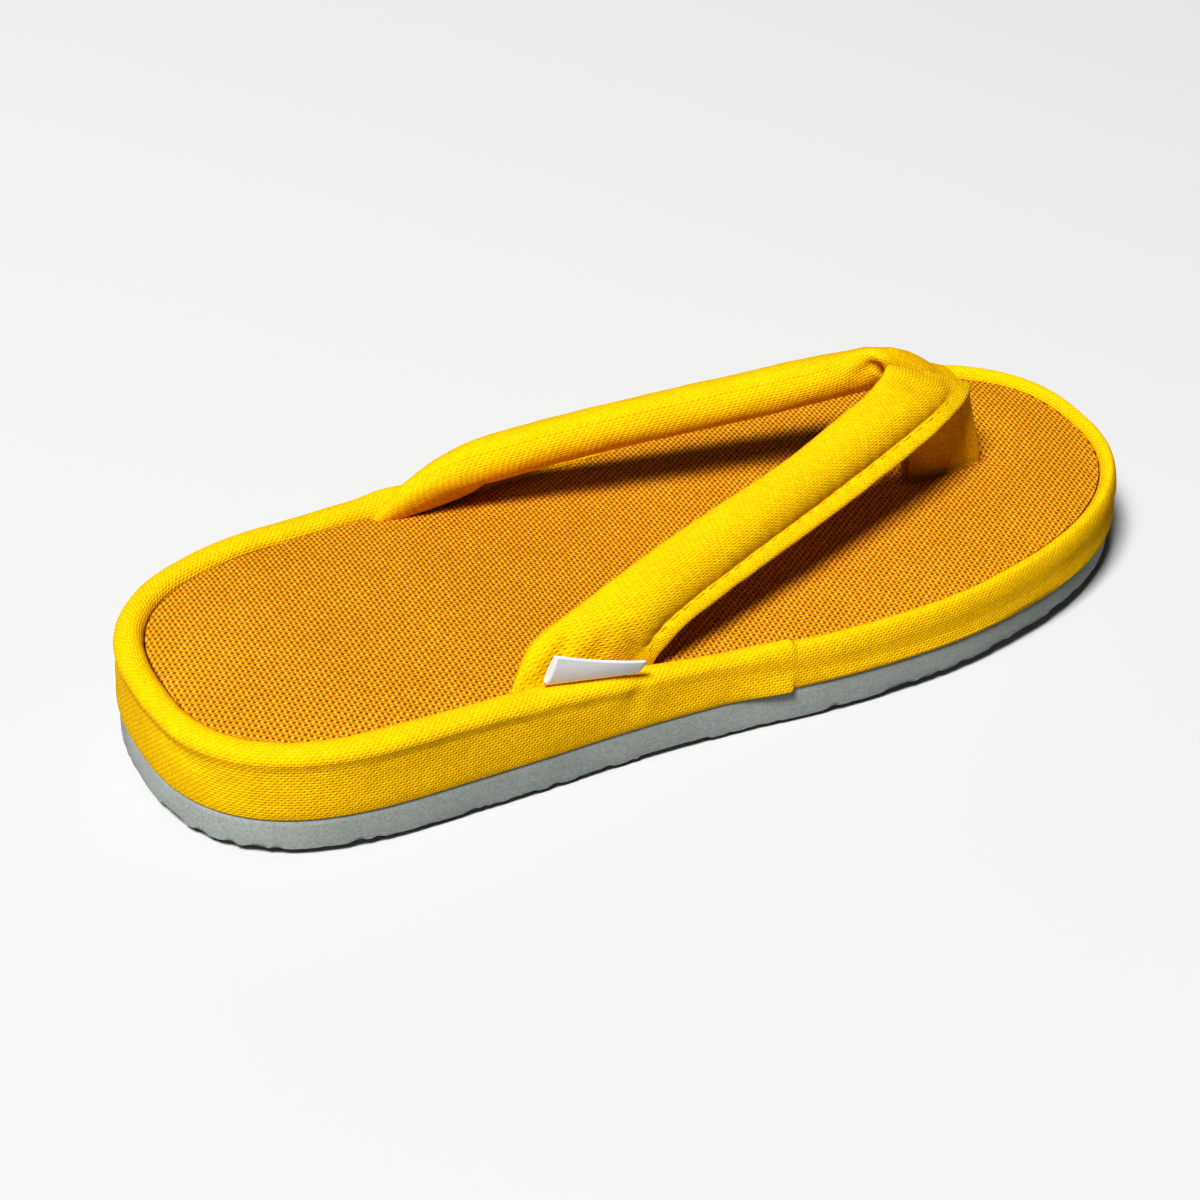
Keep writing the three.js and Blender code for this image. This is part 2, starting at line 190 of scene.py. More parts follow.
def piece(bm, name, material, node=None, sharp=60.0):
    """Turns a bmesh into a finished piece of the sandal that rides with its body."""
    mesh = bpy.data.meshes.new(name)
    bm.to_mesh(mesh)
    bm.free()
    mesh.shade_smooth()
    mesh.set_sharp_from_angle(angle=math.radians(sharp))
    mesh.materials.append(material)
    made = bpy.data.objects.new(name, mesh)
    bpy.context.collection.objects.link(made)
    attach(made, "root")
    if node:
        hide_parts(node)
    print(name, "triangles:", sum(len(p.vertices) - 2 for p in mesh.polygons))
    return made


# %% [markdown]
# ## Small unevenness
# Cloth and foam are never quite even. They could be sculpted by hand, but then a change of size would
# undo the work, so a seeded noise moves points a little, square to the surface. The creases that the
# photograph shows are pressed in one by one: each is a line between two places, with a width and a depth.

# %% Noise, surface directions and creases
def uneven(points, size, seed):
    """Smooth noise from -1 to 1 at each point, with bumps about size millimetres across."""
    size = np.broadcast_to(np.asarray(size, float), 3)
    flat = points.reshape(-1, 3) / size + seed * 17.3
    return np.array([noise.noise(Vector(p)) for p in flat]).reshape(points.shape[:-1])


def outward(place, closed_across):
    """Unit directions square to a panel that is closed along its columns."""
    round_trip = np.concatenate([place[-2:-1], place, place[1:2]])
    du = round_trip[2:] - round_trip[:-2]
    if closed_across:
        over = np.concatenate([place[:, -2:-1], place, place[:, 1:2]], axis=1)
        dv = over[:, 2:] - over[:, :-2]
    else:
        dv = np.gradient(place, axis=1)
    out = np.cross(du, dv)
    return out / np.maximum(np.linalg.norm(out, axis=2, keepdims=True), 1e-9)


CREASE_END = 0.35  # share of the depth that is left at the ends of a crease
LIP, LIP_AT = 0.45, 1.9  # height of the lip as a share of the depth, and its distance in crease widths


def press(place, out, creases):
    """Pushes points in along each crease line, with a low lip on both sides."""
    depth_all = np.zeros(place.shape[:2])
    for start, end, width, depth in creases:
        a, b = np.array(start, float), np.array(end, float)
        t = np.clip(((place - a) @ (b - a)) / ((b - a) @ (b - a)), 0, 1)
        far = np.linalg.norm(place - a - t[..., None] * (b - a), axis=2)
        fade = CREASE_END + (1 - CREASE_END) * np.sin(np.pi * np.clip(t, 0.02, 0.98))
        lip = LIP * np.exp(-(((far - LIP_AT * width) / width) ** 2))
        depth_all += depth * fade * (np.exp(-((far / width) ** 2)) - lip)
    return place - out * depth_all[..., None]


# %% [markdown]
# ## Colours and nodes
# Colours are picked as sRGB hex values, and the shader wants linear light, so one function converts them.
# Another adds a node with its settings and links and hands back the socket that the next node needs. A
# third starts a material, with the numbers that are the same all over set on the shader itself.

# %% Colour and node helpers
def hex_colour(code):
    rgb = [int(code[i : i + 2], 16) / 255 for i in (1, 3, 5)]
    return tuple(c / 12.92 if c <= 0.04045 else ((c + 0.055) / 1.055) ** 2.4 for c in rgb) + (1.0,)


def add(tree, kind, inputs=None, out=0, **settings):
    node = tree.nodes.new(kind)
    for name, value in settings.items():
        setattr(node, name, value)
    for socket, value in (inputs or {}).items():
        if isinstance(value, bpy.types.NodeSocket):
            tree.links.new(value, node.inputs[socket])
        else:
            node.inputs[socket].default_value = value
    return node.outputs[out]


def new_material(name, roughness, **settings):
    material = bpy.data.materials.new(name)
    material.use_nodes = True
    shader = material.node_tree.nodes["Principled BSDF"]
    shader.inputs["Roughness"].default_value = roughness
    for socket, value in settings.items():
        shader.inputs[socket.replace("_", " ")].default_value = value
    return material, material.node_tree, shader


# Weave colours: painted shade in the gaps, the thread's own colour, and a painted highlight on its top.
YELLOW_GAP_SHADE, YELLOW_THREAD, YELLOW_HIGHLIGHT = "#d8a403", "#eab806", "#f2c510"
print("yellow thread in linear light:", [round(c, 3) for c in hex_colour(YELLOW_THREAD)[:3]])

# %% [markdown]
# ## Cotton canvas
# Canvas is a plain weave of thick cotton: every thread goes over one and under one. The eye sees rows of
# small rounded bumps with dark gaps, no gloss, and threads that wander a little and differ in tone. The
# threads could be modelled, but there are tens of thousands, so the weave is worked out in the material
# from the two thread spacings. A thread's bump is a half wave across it, and it rises and dips along it
# as it crosses the others. Its colour carries light as well: painted shade in the gaps between threads and
# a painted highlight on the top of each bump.

# %% Weave pattern
SLANT = 0.12  # how far a thread leans aside where it dips
SUNK = 0.55  # height of the threads that run along, as a share of those across


def weave(tree, x, y, across, along):
    """Height from 0 to 1 of a plain weave, threads across and along mm apart, and the thread numbers."""
    col = add(tree, "ShaderNodeMath", {0: x, 1: across}, operation="DIVIDE")
    row = add(tree, "ShaderNodeMath", {0: y, 1: along}, operation="DIVIDE")
    heights, numbers = [], []
    for thread, other, sign in ((col, row, 1.0), (row, col, -1.0)):
        number = add(tree, "ShaderNodeMath", {0: thread}, operation="FLOOR")
        inside = add(tree, "ShaderNodeMath", {0: thread}, operation="FRACT")
        place = add(tree, "ShaderNodeMath", {0: other, 1: number}, operation="ADD")
        shifted = add(tree, "ShaderNodeMath", {0: place, 1: -0.5}, operation="ADD")
        wave = add(tree, "ShaderNodeMath", {0: shifted, 1: math.pi}, operation="MULTIPLY")
        rise = add(tree, "ShaderNodeMath", {0: wave}, operation="COSINE")
        slope = add(tree, "ShaderNodeMath", {0: wave}, operation="SINE")
        slant = add(tree, "ShaderNodeMath", {0: slope, 1: -SLANT, 2: inside}, operation="MULTIPLY_ADD")
        bend = add(tree, "ShaderNodeMath", {0: slant, 1: math.pi}, operation="MULTIPLY")
        arch = add(tree, "ShaderNodeMath", {0: bend}, operation="SINE")
        over = add(tree, "ShaderNodeMath", {0: rise, 1: 0.5 * sign, 2: 0.5}, operation="MULTIPLY_ADD")
        heights.append(add(tree, "ShaderNodeMath", {0: arch, 1: over}, operation="MULTIPLY"))
        numbers.append(number)
    low = add(tree, "ShaderNodeMath", {0: heights[1], 1: SUNK}, operation="MULTIPLY")
    return add(tree, "ShaderNodeMath", {0: heights[0], 1: low}, operation="MAXIMUM"), numbers


# %% Canvas material
WANDER_SIZE, FIBRE_SIZE, BLOTCH_SIZE = 2.86, 0.2, 20.0  # mm
WANDER = 0.45  # how far threads stray, in thread spacings


def canvas(name, gap, thread, painted_highlight, across, along, depth, on_object=False, angle=0.0):
    """Cotton canvas with threads across and along mm apart, on the flat map or on the object's X and Y."""
    material, tree, shader = new_material(name, 0.95, IOR=1.5, Specular_IOR_Level=0.06)
    spot = add(tree, "ShaderNodeTexCoord", out="Object" if on_object else "UV")
    scale = 1 / MM if on_object else 1.0
    mm = add(tree, "ShaderNodeMapping", {"Vector": spot, "Scale": (scale,) * 3, "Rotation": (0, 0, angle)})
    wander = {"Vector": mm, "Scale": 1 / WANDER_SIZE, "Detail": 1.0}
    wander = add(tree, "ShaderNodeTexNoise", wander, out="Color")
    wander = add(tree, "ShaderNodeVectorMath", {0: wander, 1: (0.5, 0.5, 0.5)}, operation="SUBTRACT")
    wander = add(tree, "ShaderNodeVectorMath", {0: wander, "Scale": WANDER * across}, operation="SCALE")
    bent = add(tree, "ShaderNodeVectorMath", {0: mm, 1: wander}, operation="ADD")
    axes = add(tree, "ShaderNodeSeparateXYZ", {0: bent}).node.outputs
    height, numbers = weave(tree, axes["X"], axes["Y"], across, along)

    slubs = add(tree, "ShaderNodeCombineXYZ", {0: numbers[0], 1: numbers[1]})
    slubs = add(tree, "ShaderNodeTexWhiteNoise", {"Vector": slubs}, noise_dimensions="2D")
    fibre = add(tree, "ShaderNodeTexNoise", {"Vector": mm, "Scale": 1 / FIBRE_SIZE, "Detail": 2.0})
    broad = add(tree, "ShaderNodeTexNoise", {"Vector": mm, "Scale": 1 / BLOTCH_SIZE, "Detail": 3.0})

    # The ramp paints shade into the low gaps and a highlight onto the high tops of the threads.
    ramp = add(tree, "ShaderNodeValToRGB", {0: height}).node
    ramp.color_ramp.elements[0].position, ramp.color_ramp.elements[0].color = 0.05, hex_colour(gap)
    ramp.color_ramp.elements[1].position, ramp.color_ramp.elements[1].color = 0.92, hex_colour(painted_highlight)
    ramp.color_ramp.elements.new(0.42).color = hex_colour(thread)
    tone = add(tree, "ShaderNodeMapRange", {0: slubs, 3: 0.88, 4: 1.07})
    grey = add(tree, "ShaderNodeMapRange", {0: broad, 1: 0.3, 2: 0.7, 3: 0.95, 4: 1.04})
    value = add(tree, "ShaderNodeMath", {0: tone, 1: grey}, operation="MULTIPLY")
    colour = add(tree, "ShaderNodeHueSaturation", {"Color": ramp.outputs[0], "Value": value})
    tree.links.new(colour, shader.inputs["Base Color"])

    rough = add(tree, "ShaderNodeMath", {0: fibre, 1: 0.25, 2: height}, operation="MULTIPLY_ADD")
    bump = add(tree, "ShaderNodeBump", {"Height": rough, "Distance": depth * MM, "Strength": 1.0})
    tree.links.new(bump, shader.inputs["Normal"])
    return material


# The yellow threads lie 0.6 mm apart, under two pixels of the render, so they are drawn at 0.7 mm.
yellow_canvas = canvas("yellow cotton canvas", YELLOW_GAP_SHADE, YELLOW_THREAD, YELLOW_HIGHLIGHT, 0.72, 0.68, 0.15)
# The ochre colours are likewise painted shade in the gaps, the thread, and a painted highlight on the tops.
ochre_canvas = canvas(
    "ochre cotton canvas", "#6a3c0a", "#d38f16", "#ebb434", 1.10, 0.80, 0.36,
    on_object=True, angle=math.radians(4),
)
print("materials:", [m.name for m in (yellow_canvas, ochre_canvas)])

# %% [markdown]
# ## Foam
# The sole is closed-cell foam, cut to the outline from a sheet. The eye sees a matte grey, finely
# speckled where the cut opens the cells. An image of foam would repeat, so speckle and pores are noise,
# at their real size of under a millimetre, on top of a slow change of tone.

# %% Foam material
SPECKLE_SIZE, CLOUD_SIZE = 0.714, 11.1  # mm
foam, tree, shader = new_material("grey closed-cell foam", 0.62, IOR=1.45)
spot = add(tree, "ShaderNodeTexCoord", out="Object")
grit = {"Vector": spot, "Scale": 1 / (SPECKLE_SIZE * MM), "Detail": 3.0, "Roughness": 0.7}
grit = add(tree, "ShaderNodeTexNoise", grit)
cloud = add(tree, "ShaderNodeTexNoise", {"Vector": spot, "Scale": 1 / (CLOUD_SIZE * MM), "Detail": 2.0})
both = add(tree, "ShaderNodeMath", {0: cloud, 1: 0.35, 2: grit}, operation="MULTIPLY_ADD")
ramp = add(tree, "ShaderNodeValToRGB", {0: both}).node
ramp.color_ramp.elements[0].position, ramp.color_ramp.elements[0].color = 0.45, hex_colour("#8b918c")
ramp.color_ramp.elements[1].position, ramp.color_ramp.elements[1].color = 0.90, hex_colour("#a9afaa")
tree.links.new(ramp.outputs[0], shader.inputs["Base Color"])
pores = add(tree, "ShaderNodeBump", {"Height": both, "Distance": 0.12 * MM, "Strength": 0.8})
tree.links.new(pores, shader.inputs["Normal"])
print("material:", foam.name)

# %% [markdown]
# ## Outline rings
# Sole, band and footbed all follow one outline. Its points are spaced evenly along the edge, with six
# close together where the band's cloth ends in a step. A ring moves every point out or in, and a drawn-in
# ring shrinks it towards the middle line, so that a surface can be closed without a hole.

# %% Outline
OVERLAP_AT, OVERLAP_DROP = 0.546, 0.007  # where the band's upper end stops, and how short its step is


def run_along(points):
    """Length along a line of points, from 0 at the first one."""
    return np.concatenate([[0], np.cumsum(np.linalg.norm(np.diff(points, axis=0), axis=1))])


def make_outline(count):
    """Share along the sole, x, y and outward x, y of the edge, and the length along it."""
    fine = (1 - np.cos(np.linspace(0, np.pi, 6001))) / 2
    run = run_along(np.stack([fine * LENGTH, half_width(fine)], 1))
    share = np.interp(np.linspace(0, run[-1], count + 1), run, fine)
    share = np.sort(np.append(share, OVERLAP_AT + OVERLAP_DROP * np.linspace(0, 1, 6)))
    right = np.stack([share, share * LENGTH - LENGTH / 2, -half_width(share)], 1)
    left = right[-2:0:-1] * (1, 1, -1)
    left[:, 2] += left_swell(left[:, 0])
    loop = np.concatenate([right, left])
    step = np.roll(loop, -1, 0)[:, 1:] - np.roll(loop, 1, 0)[:, 1:]
    step /= np.linalg.norm(step, axis=1, keepdims=True)
    whole = np.column_stack([loop, step[:, 1], -step[:, 0]])
    whole = np.concatenate([whole, whole[:1]])
    return whole.T, run_along(whole[:, 1:3])


(edge_share, edge_x, edge_y, edge_nx, edge_ny), edge_run = make_outline(270)


def ring(offset, height):
    height = np.broadcast_to(height, edge_x.shape)
    return np.stack([edge_x + edge_nx * offset, edge_y + edge_ny * offset, height], 1)


def drawn_in(points, share):
    spine = np.clip(edge_x, -0.35 * LENGTH, 0.32 * LENGTH)
    return spine + share * (points[:, 0] - spine), share * points[:, 1]


print("edge length, mm:", round(float(edge_run[-1])))

# %% [markdown]
# ## Outsole
# The foam's underside is moulded with a crinkle like coarse leather: flat patches a few millimetres wide,
# with smooth valleys between them. It shows at the edge too, where the lower line of the sole is slightly
# ragged. A bump would leave that line straight, so the crinkle is real relief, from noise that is
# stretched one way and cut off at the top.

# %% Crinkle of the underside
CRINKLE, CRINKLE_TURN = 1.15, math.radians(24)
PATCH, GRAIN = (4.6, 2.7, 1), (2.1, 1.5, 1)
DRIFT_SIZE, DRIFT = 9.0, 2.2


def smoothstep(low, high, value):
    t = np.clip((value - low) / (high - low), 0, 1)
    return t * t * (3 - 2 * t)


def crinkle(x, y):
    """Depth of the moulded relief from 0 on the patches to 1 in the valleys."""
    cos, sin = math.cos(CRINKLE_TURN), math.sin(CRINKLE_TURN)
    flat = np.stack([x * cos + y * sin, y * cos - x * sin, 0 * x], -1)
    bend = uneven(flat, DRIFT_SIZE, 1)
    flat = flat + np.stack([bend, -bend, 0 * bend], -1) * DRIFT
    hills = uneven(flat, PATCH, 2) + 0.45 * uneven(flat, GRAIN, 3)
    return 1 - smoothstep(-0.42, 0.2, hills)


def edge_lift(along):
    """How far the lower edge is rounded up from the floor: a little at the heel, more towards the toe."""
    return 0.8 + 0.8 * smoothstep(0.3, 0.1, along) + 2.6 * smoothstep(0.52, 0.92, along)


# %% Outsole piece
lift = toe_lift(edge_share)
rows = []
for share in np.linspace(0, 1, 58):
    x, y = drawn_in(ring(-0.5, 0), share)
    along = share_of(x)
    depth = CRINKLE * (1 - 0.4 * smoothstep(0.9, 1.0, share)) * crinkle(x, y)
    rounded = edge_lift(along) * smoothstep(0.84, 1.0, share)
    rows.append(np.stack([x, y, toe_lift(along) + rounded + depth], 1))
low = rows[-1][:, 2] + 0.25
for offset, part in ((-0.12, 0.0), (0.0, 0.12), (0.04, 0.4), (0.04, 0.75), (0.0, 0.97), (-0.15, 1.0)):
    rows.append(ring(offset, low + (lift + SOLE_THICKNESS - low) * part))
for share in (0.93, 0.8, 0.5, 0.0):
    x, y = drawn_in(ring(-0.15, 0), share)
    rows.append(np.stack([x, y, toe_lift(share_of(x)) + SOLE_THICKNESS], 1))
place = np.stack(rows, 1)
cloth = np.stack(np.broadcast_arrays(edge_run[:, None], np.arange(len(rows))[None, :]), -1)
outsole = piece(panel(place, cloth), "outsole_foam", foam, "outsole", sharp=50)

# %% [markdown]
# ## Side band
# A strip of canvas is wrapped round the edge, rolled over the top as a soft rim and sewn to the footbed
# cloth. Round the heel a wall and a fat roll meet in a soft line, and towards the toe the two become one
# long curve. Its two ends overlap on the right side, where the upper end makes a small step. A swept
# curve can't change its section like that, so the band is one panel that runs round the outline, and its
# rows follow a section: up the side, over the rim, down into the seam and back inside.

# %% Band sizes round the outline
OVERLAP_HEIGHT, OVERLAP_FADE = 1.1, 0.065
ROOT_AT, ROOT_REACH, ROOT_HEIGHT = 0.322, 0.035, 2.0  # the left strap's root pushes the rim up
LONG_CURVE = 4.2
RIM_START, RIM_HEEL, RIM_END = 14, 24, 150  # degrees round the roll

back = (OVERLAP_AT - edge_share) / OVERLAP_FADE
drop = smoothstep(OVERLAP_AT + OVERLAP_DROP, OVERLAP_AT, edge_share)
step_up = np.where(edge_y < 0, OVERLAP_HEIGHT * drop * (1 - smoothstep(0, 1, back)), 0.0)
rim = smooth_column(SOLE, RIM, edge_share)
seam = seam_height(edge_share)
foot = lift + SOLE_THICKNESS + 0.12
heel_part = 1 - smoothstep(0.30, 0.5, edge_share)
long_curve = LONG_CURVE * smoothstep(0.46, 0.64, edge_share)
reach = (rim - 0.3) / (1 + math.cos(math.radians(180 - RIM_END)))
rise = 1.6 + 0.2 * rim
root = np.where(edge_y > 0, ROOT_HEIGHT * np.exp(-(((edge_share - ROOT_AT) / ROOT_REACH) ** 2)), 0.0)
top = seam + root - 2.2 - 0.7 * heel_part - long_curve
print("band height at the heel, mm:", round(float((seam - foot)[0]), 1))

# %% Band section
section = []
for part in np.linspace(0, 1, 13):
    bulge = 0.55 + 0.15 * np.cos(part * 3) - 0.35 * part**2
    tuck = 0.35 * math.exp(-part * 14)
    over = step_up * (1.1 * (1 - part) ** 2 + 0.15 * part)
    section.append(ring(bulge + over - tuck, foot + (top - foot) * part))
for part in np.linspace(0, 1, 16):
    angle = np.radians((RIM_START - RIM_HEEL * heel_part) * (1 - part) + RIM_END * part)
    outer = np.maximum(np.cos(angle), 0)
    across = 0.2 - reach + reach * np.cos(angle) + (0.2 * step_up + 0.35 * heel_part) * outer
    up = (rise + 0.8 * step_up) * np.sin(angle) + root * (1 - angle / math.pi)
    up -= np.where(np.cos(angle) > 0, long_curve * (1 - np.sin(angle)), 0)
    section.append(ring(across, seam - 1.0 + up))
for inset, below in ((rim - 0.1, 0.35), (rim, 0.9), (rim - 0.1, 2.4), (1.9, 3.4), (1.2, 4.4)):
    section.append(ring(-inset, seam - below))
section.append(ring(-1.1, foot))
section.append(section[0])
place = np.stack(section, 1)
print("band rows:", len(section))

# %% Band creases and piece
BAND_CREASES = [
    # from, to, width, depth, in mm
    ((-26.0, -42.5, 24.5), (-28.0, -43.5, 18.0), 2.4, 0.55),
    ((-30.0, -40.5, 26.5), (-20.0, -41.5, 23.0), 2.2, 0.35),
    ((-55.0, -40.0, 28.5), (-46.0, -41.5, 24.5), 2.0, 0.45),
    ((-22.0, 41.5, 25.0), (-25.0, 43.0, 18.0), 1.8, 0.7),
    ((-52.0, 38.5, 29.0), (-44.0, 41.0, 25.0), 1.9, 0.6),
    ((-126.5, -8.0, 23.0), (-122.0, -24.0, 22.0), 2.2, 0.35),
    ((-125.5, 12.0, 22.5), (-118.5, 30.0, 22.0), 2.2, 0.3),
]
outside = slice(4, 29)  # the rows that show
out = outward(place, True)
soft = 0.20 * uneven(place, (16, 16, 9), 5) + 0.10 * uneven(place, 5.0, 6)
place[:, outside] += (out * soft[..., None])[:, outside]
place = press(place, out, BAND_CREASES)
place[-1] = place[0]
place[:, -1] = place[:, 0]
across_run = np.cumsum(np.linalg.norm(np.diff(place, axis=1, prepend=place[:, :1]), axis=2), axis=1)
cloth = np.stack(np.broadcast_arrays(across_run, edge_run[:, None]), -1)
band = piece(panel(place, cloth), "side_band_canvas", yellow_canvas, "side_wrap", sharp=48)

# %% [markdown]
# ## Footbed
# The footbed is a foam wedge under coarse canvas. It crowns gently across, dips round the toe post and
# has a slit that the post goes into. A cloth simulation could puff it up, but its seam holds it nearly
# flat, so the crown is a formula. The cloth is one flat sheet, so its threads run straight across the
# whole top, and its weave is laid out on the object's own X and Y and not on the rings that make the
# shape.

# %% Footbed piece
DIP_X, DIP_DEPTH, DIP_LONG, DIP_WIDE = 84.5, 1.3, 17.0, 10.0
POST_X, POST_HALF, POST_THICK = 82.8, 10.0, 3.0
SLIT, SLIT_EASE = 1.3, 1.1


def deck_height(x, y, share):
    along = share_of(x)
    crown = smooth_column(SOLE, CROWN, along) * (0.8 * (1 - share**2.6) + 0.2 * (1 - share**9))
    dip = DIP_DEPTH * np.exp(-(((x - DIP_X) / DIP_LONG) ** 2) - (y / DIP_WIDE) ** 2)
    past_end = np.maximum(np.abs(x - POST_X) - POST_HALF, 0)
    slit = SLIT * np.exp(-((np.maximum(np.hypot(past_end, y) - POST_THICK, 0) / SLIT_EASE) ** 2))
    return seam_height(along) - 0.6 + crown - dip - slit


rows = []
for share in (0.0, 0.5):
    x, y = drawn_in(ring(-1.4, 0), share)
    rows.append(np.stack([x, y, toe_lift(share_of(x)) + SOLE_THICKNESS + 0.3], 1))
rim_edge = ring(-rim - 0.3, seam - 1.4)
rows += [ring(-1.4, foot + 0.18), ring(-1.5, seam - 4.7), ring(-2.2, seam - 3.8)]
rows += [ring(-rim - 0.3, seam - 2.8), rim_edge]
deck = slice(len(rows), None)
for share in 1 - np.linspace(0.004, 1, 52) ** 1.15:
    x, y = drawn_in(rim_edge, share)
    rows.append(np.stack([x, y, deck_height(x, y, share)], 1))
place = np.stack(rows, 1)
place[:, deck, 2] += 0.12 * uneven(place[:, deck], 22.0, 8)
place[:, -1, 2] = 0.5 * (place[:, -1, 2] + place[::-1, -1, 2])
place[-1] = place[0]
footbed = piece(panel(place, place[..., :2]), "footbed_cushion", ochre_canvas, "footbed")

# %% [markdown]
# ## Straps
# Each strap is a tube of canvas round soft padding, with the seam allowance left as a flat stitched edge
# on its outer side. It comes out of the seam, rises over the foot, folds over at the middle and goes down
# as one half of the toe post. A cloth simulation could fill it, but it would lose the flat edge, so the
# strap is a panel wrapped along two rails, its inner edge and its outer edge. Rows past the fold lead
# down to the footbed.

# %% Strap table
STRAP = np.array([
    # along, inner edge x y z, outer edge x y z, padding over and under their plane; x from the heel tip
    (-0.07, 70.0, -35.4, 20.0, 106.8, -36.9, 20.0, 1.7, 1.7),
    (0.00, 72.0, -34.9, 24.6, 107.6, -37.1, 24.0, 2.0, 2.2),
    (0.12, 78.9, -32.1, 34.5, 109.6, -37.3, 27.1, 3.2, 4.6),
    (0.25, 92.3, -29.4, 39.9, 116.1, -37.0, 32.1, 4.3, 6.4),
    (0.45, 120.8, -22.4, 45.6, 138.7, -31.3, 36.1, 4.5, 6.3),
    (0.65, 151.3, -15.3, 49.7, 165.3, -24.4, 40.1, 4.5, 6.8),
    (0.85, 177.0, -7.5, 54.4, 195.2, -15.7, 45.5, 4.2, 6.6),
    (0.98, 187.4, -4.8, 57.5, 211.8, -6.6, 45.9, 3.0, 4.6),
    (1.04, 190.4, -2.5, 56.9, 215.2, -3.4, 43.7, 2.0, 2.2),
    (1.12, 192.4, -1.8, 53.1, 216.6, -1.8, 39.7, 1.7, 1.7),
    (1.25, 196.0, -1.75, 43.5, 218.4, -1.75, 34.0, 1.6, 1.6),
    (1.40, 199.6, -1.75, 30.5, 220.8, -1.75, 27.5, 1.6, 1.6),
    (1.55, 201.2, -1.75, 20.1, 222.4, -1.75, 20.1, 1.6, 1.6),
])
CRISP_FOLD = np.array([
    # the right strap is pressed flat where it folds over, and these rows take the place of two above
    (0.95, 185.4, -5.0, 57.4, 208.8, -8.2, 46.0, 2.8, 4.6),
    (1.00, 189.0, -2.6, 58.6, 214.0, -3.6, 45.6, 1.0, 2.2),
    (1.012, 189.8, -1.8, 58.3, 214.6, -2.6, 45.4, 0.7, 1.5),
    (1.025, 190.2, -1.6, 57.2, 215.0, -2.1, 44.6, 0.8, 1.2),
    (1.05, 190.6, -1.7, 55.2, 215.4, -2.1, 42.6, 1.0, 1.2),
])
RIGHT, LEFT = 1, -1
SLUMP_AT, SLUMP_REACH, SLUMP = 0.08, 0.1, 2.3  # the left strap sinks a little above its root
COLUMN = 0.8  # mm between the columns of a strap


def strap_rails(side):
    """Both edges and the padding in even steps along the strap, with the length and the share there."""
    table = STRAP if side == LEFT else np.concatenate([STRAP[:7], CRISP_FOLD, STRAP[9:]])
    fine = np.linspace(STRAP[0, 0], STRAP[-1, 0], 1600)
    rails = np.stack([smooth_column(table, c, fine) for c in range(1, 9)], 1)
    if side == LEFT:
        base = np.clip(1 - fine / 0.3, 0, 1)
        for x, y in ((0, 1), (3, 4)):
            rails[:, y] -= base * left_swell(rails[:, x] / LENGTH)
        rails[:, 2] -= SLUMP * np.exp(-(((fine - SLUMP_AT) / SLUMP_REACH) ** 2))
    run = run_along((rails[:, 0:3] + rails[:, 3:6]) / 2)
    at = np.linspace(0, run[-1], int(run[-1] / COLUMN))
    rails = np.stack([np.interp(at, run, rails[:, c]) for c in range(8)], 1)
    return rails, at, np.interp(at, run, fine)


print("strap length with its half of the post, mm:", [round(strap_rails(s)[1][-1]) for s in (RIGHT, LEFT)])

# %% [markdown]
# The section goes once round the tube: over the padded face, down into the groove of the stitching, along
# the flat edge, and back underneath. The groove is puckered at every stitch, and it fades out at both
# ends of the strap, where there is no padding beside it.

# %% Strap section
FLAT_EDGE, EDGE_HALF = 4.8, 1.15
GROOVE, GROOVE_PLAIN = 0.55, 1.1
STITCH, PUCKER_TOP, PUCKER_UNDER, PUCKER_REACH = 4.2, 0.22, 0.10, 1.9


def strap_section(width, over, under, at, share):
    """For each column, how far across the strap and how high every point of the section lies."""
    tube = (width - FLAT_EDGE)[:, None]
    plain = np.maximum(smoothstep(0.72, 1.0, share), smoothstep(0.24, 0.08, share))
    groove = (GROOVE + (GROOVE_PLAIN - GROOVE) * plain)[:, None]
    turn = np.linspace(0, np.pi, 27)[None, :]
    u = tube / 2 * (1 - np.cos(turn))
    round_face = np.sin(turn) ** 0.85
    easy_face = np.sin(turn) ** np.where(turn > np.pi / 2, 1.25, 0.85)
    low = np.where(turn > np.pi / 2, groove, 0.0)
    part = np.array([0.10, 0.22, 0.36, 0.5, 0.64, 0.78, 0.9, 0.97, 1.0])[None, :]
    body = groove + (EDGE_HALF - groove) * np.sin(np.pi / 2 * np.clip(part / 0.45, 0, 1))
    tip = np.sqrt(np.clip(1 - (np.clip(part - 0.72, 0, 1) / 0.28) ** 2, 0, 1))
    u = np.concatenate([u, tube + FLAT_EDGE * part], 1)
    top = np.concatenate([np.maximum(over * easy_face, low), body * tip], 1)
    bottom = np.concatenate([np.maximum(under * round_face, low), body * tip], 1)

    sewn = smoothstep(0.05, 0.2, share) * smoothstep(1.05, 0.95, share)
    pucker = np.exp(-(((u - tube) / PUCKER_REACH) ** 2)) * (sewn * np.cos(2 * np.pi * at / STITCH))[:, None]
    top = top + PUCKER_TOP * pucker
    bottom = bottom + PUCKER_UNDER * pucker
    return np.concatenate([u, u[:, -2::-1]], 1), np.concatenate([top, -bottom[:, -2::-1]], 1)


# %% [markdown]
# The section is set up on the rails, square to the strap. The cloth is slack at the root and at the fold
# and tight between them, so the noise that moves it is stronger there. The left strap is made by the same
# code, with its Y turned round.

